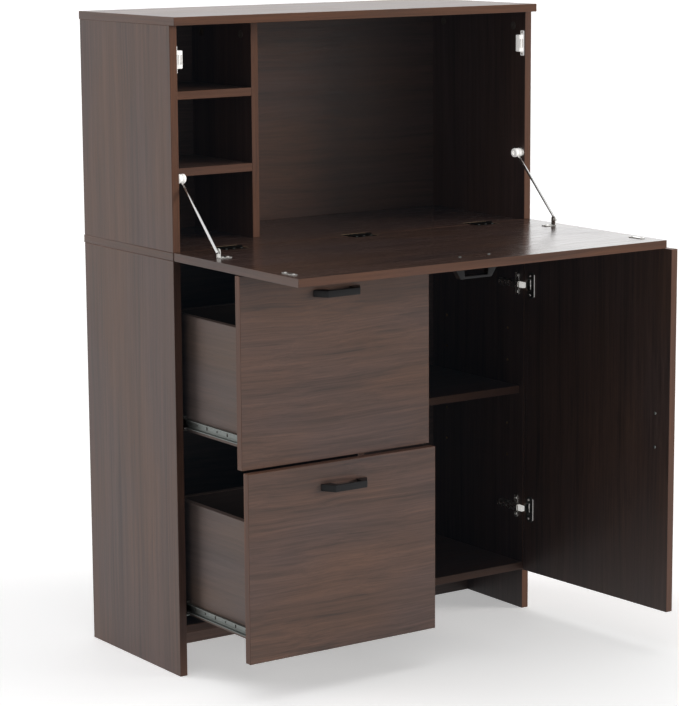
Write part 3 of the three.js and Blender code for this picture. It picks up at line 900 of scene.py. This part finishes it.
def make_member(level, member, side):
    """One C-shaped channel, its web pierced by round holes and upright slots by turns."""
    node = f"slide_{level}_{member}_{side}"
    low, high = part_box(node)
    opening = 1 if (side == "left") != (member == "inner") else -1
    web = low.x if opening > 0 else high.x
    middle_z = (low.z + high.z) / 2
    half = (high.z - low.z) / 2 - SLIDE_STEEL / 2
    reach = high.x - low.x - SLIDE_STEEL * 0.6
    back = SLIDE_STEEL / 2
    path = [(reach, -half), (back, -half), (back, half), (reach, half)]
    bm = prism(strip_outline(path, SLIDE_STEEL, SLIDE_BEND), high.y - low.y)
    # The outline's X runs from the web to the open side, its Y up; it is extruded rearwards.
    lay = Matrix(((opening, 0, 0, web), (0, 0, 1, low.y), (0, 1, 0, middle_z), (0, 0, 0, 1)))
    bmesh.ops.transform(bm, matrix=lay, verts=bm.verts)
    holes = []
    for k in range(SLIDE_HOLES):
        tool = prism(slot_outline(SLIDE_SLOT if k % 2 else SLIDE_HOLE * 1.01, SLIDE_HOLE, 6), 6 * MM)
        y = low.y + SLIDE_FIRST_HOLE + k * SLIDE_HOLE_STEP
        turn = Matrix(((0, 0, 1, web - 3 * MM), (0, 1, 0, y), (1, 0, 0, middle_z), (0, 0, 0, 1)))
        bmesh.ops.transform(tool, matrix=turn, verts=tool.verts)
        holes.append(tool)
    piece(f"{node}_channel", carved(bm, holes), [ZINC], BODY_OF[node], [node])


def make_cage(level, side):
    """Ball cages near the cabinet's front: a strip with a row of balls above and below the inner channel."""
    low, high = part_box(f"slide_{level}_outer_{side}")
    inner_low, inner_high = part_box(f"slide_{level}_inner_{side}")
    start, end = low.y + CAGE_FROM, low.y + CAGE_TO
    x = (inner_low.x + inner_high.x) / 2
    bm = bmesh.new()
    for wall, inner, up in ((high.z, inner_high.z, 1), (low.z, inner_low.z, -1)):
        race = wall - up * SLIDE_STEEL
        z = (race + inner) / 2
        gap = abs(race - inner)
        half = Vector((CAGE_HALF_WIDTH, 0, gap * 0.2))
        merge(bm, block(Vector((x, start, z)) - half, Vector((x, end, z)) + half))
        for k in range(CAGE_BALLS):
            y = start + (k + 0.5) * (end - start) / CAGE_BALLS
            bmesh.ops.create_icosphere(
                bm, subdivisions=2, radius=gap * 0.44, matrix=Matrix.Translation((x, y, z)))
    piece(f"ball_cage_{level}_{side}", bm, [BALL], "root")


# ---- Small fittings -------------------------------------------------------------------
PIN_ROWS = (50 * MM, 250 * MM)
PIN_RADIUS = 2.5 * MM
CAP_DROP = 28 * MM
CAP_ROWS = (37 * MM, 262 * MM)
CAP_ROWS_DIVIDER = (125 * MM, 262 * MM)


def make_shelf_pins():
    """Spoon-shaped supports in the holes under the loose shelf."""
    profile = mm((0, -7), (2.1, -7), (2.4, -6.4), (2.4, 0), (4, 0), (4, 0.8),
                 (2.4, 0.9), (2.4, 7.4), (1.8, 8), (0, 8))
    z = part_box("adjustable_shelf")[0].z - PIN_RADIUS
    pins = bmesh.new()
    for x, inward in ((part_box("base_divider")[1].x, 1), (RIGHT_FACE, -1)):
        for row in PIN_ROWS:
            merge(pins, lathe(profile, 20), place((x, CORNER.y + row, z), X * inward))
    piece("shelf_pins", pins, [NICKEL], "root")


def make_cam_caps():
    """Caps over the cam bolts, under the hutch's top and under the desk."""
    under_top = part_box("hutch_top")[0].z - CAP_DROP
    under_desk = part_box("desk_panel")[0].z - CAP_DROP
    spots = []
    for row in CAP_ROWS:
        spots += [(RIGHT_FACE, row, under_top, -1), (LEFT_FACE, row, under_top, 1)]
        spots += [(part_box("base_divider")[0].x, row, under_desk, -1)]
    spots += [(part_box("hutch_divider")[0].x, row, under_top, -1) for row in CAP_ROWS_DIVIDER]
    profile = mm((0, 0), (7.5, 0), (7.5, 0.3), (6.9, 0.8), (2.4, 0.8), (2.0, 0.35), (0, 0.35))
    caps = bmesh.new()
    for x, row, z, way in spots:
        merge(caps, lathe(profile, 28), place((x, CORNER.y + row, z), X * way))
    piece("cam_caps", caps, [CAP_GREY], "root")


make_boards()
make_handles()
make_flap_hinges()
make_stays()
make_catches()
make_door_hinges()
make_slides()
make_shelf_pins()
make_cam_caps()


# ---- Floor, light and camera ----------------------------------------------------------
FLOOR_GLOW = 0.38
FLOOR_BOUNCE = 0.24
WORLD_SEEN = 0.96
WORLD_LIGHT = 0.1


def make_floor():
    bm = bmesh.new()
    bmesh.ops.create_grid(bm, x_segments=2, y_segments=2, size=60)
    mesh = bpy.data.meshes.new("floor")
    bm.to_mesh(mesh)
    bm.free()
    shader = Shader("floor_white", roughness=0.8, specular=0.2)
    cloud = shader.noise(shader.coordinates, scale=1.5, detail=3)
    shader.colour(shader.mix(cloud.outputs["Fac"], (0.92, 0.92, 0.92), (0.95, 0.95, 0.95)))
    shader.bsdf.inputs["Emission Color"].default_value = (1, 1, 1, 1)
    shader.bsdf.inputs["Emission Strength"].default_value = FLOOR_GLOW

    # The floor bounces less light up than it shows, as a sheet on a dark studio floor does.
    dim = shader.node("ShaderNodeBsdfDiffuse")
    dim.inputs["Color"].default_value = (FLOOR_BOUNCE, FLOOR_BOUNCE, FLOOR_BOUNCE, 1)
    path = shader.node("ShaderNodeLightPath")
    choice = shader.node("ShaderNodeMixShader")
    shader.link(path.outputs["Is Diffuse Ray"], choice.inputs[0])
    shader.link(shader.bsdf.outputs[0], choice.inputs[1])
    shader.link(dim.outputs[0], choice.inputs[2])
    surface = shader.tree.nodes["Material Output"].inputs["Surface"]
    shader.link(choice.outputs[0], surface)
    mesh.materials.append(shader.material)
    floor = bpy.data.objects.new("floor", mesh)
    bpy.context.scene.collection.objects.link(floor)


def sun(name, towards, strength, angle, colour=(1, 1, 1), reflected=False):
    """A distant soft light; towards is the direction from the desk to the light."""
    data = bpy.data.lights.new(name, "SUN")
    data.energy = strength
    data.angle = math.radians(angle)
    data.color = colour
    light = bpy.data.objects.new(name, data)
    light.rotation_mode = "QUATERNION"
    light.rotation_quaternion = Vector(towards).to_track_quat("Z", "Y")
    light.visible_glossy = reflected
    bpy.context.scene.collection.objects.link(light)


def make_world():
    """White all round to the eye and in reflections, dimmer as a source of light."""
    world = bpy.data.worlds.new("studio")
    bpy.context.scene.world = world
    world.use_nodes = True
    tree = world.node_tree
    background = tree.nodes["Background"]
    background.inputs["Color"].default_value = (1, 1, 1, 1)
    path = tree.nodes.new("ShaderNodeLightPath")
    amount = tree.nodes.new("ShaderNodeMapRange")
    amount.inputs["To Min"].default_value = WORLD_SEEN
    amount.inputs["To Max"].default_value = WORLD_LIGHT
    tree.links.new(path.outputs["Is Diffuse Ray"], amount.inputs["Value"])
    tree.links.new(amount.outputs["Result"], background.inputs["Strength"])


CAMERA_PLACE = (-2.792, -3.915, 1.414)
CAMERA_YAW = -34.54
CAMERA_PITCH = -10.03
CAMERA_ROLL = -0.38
CAMERA_LENS = 132.96


def make_camera():
    data = bpy.data.cameras.new("camera")
    data.lens = CAMERA_LENS
    data.sensor_width = 36
    data.clip_end = 100
    camera = bpy.data.objects.new("camera", data)
    camera.location = CAMERA_PLACE
    level = Matrix.Rotation(math.radians(CAMERA_YAW), 4, "Z") @ Matrix.Rotation(math.pi / 2, 4, "X")
    tilt = Matrix.Rotation(math.radians(CAMERA_PITCH), 4, "X")
    roll = Matrix.Rotation(math.radians(CAMERA_ROLL), 4, "Z")
    camera.matrix_world = Matrix.Translation(CAMERA_PLACE) @ level @ tilt @ roll
    bpy.context.scene.collection.objects.link(camera)
    bpy.context.scene.camera = camera


make_floor()
make_world()
sun("key_right", (1.35, -1.0, 0.08), 5.15, 30, (1.0, 0.97, 0.94))
sun("side_left_rear", (-1.0, 1.4, 0.08), 4.0, 30, (1.0, 0.98, 1.0))
sun("rear_right", (0.57, 0.8, 0.2), 0.33, 40, reflected=True)
sun("top", (-0.1, -0.1, 1.0), 1.3, 60)
make_camera()
bpy.context.scene.view_settings.view_transform = "Standard"
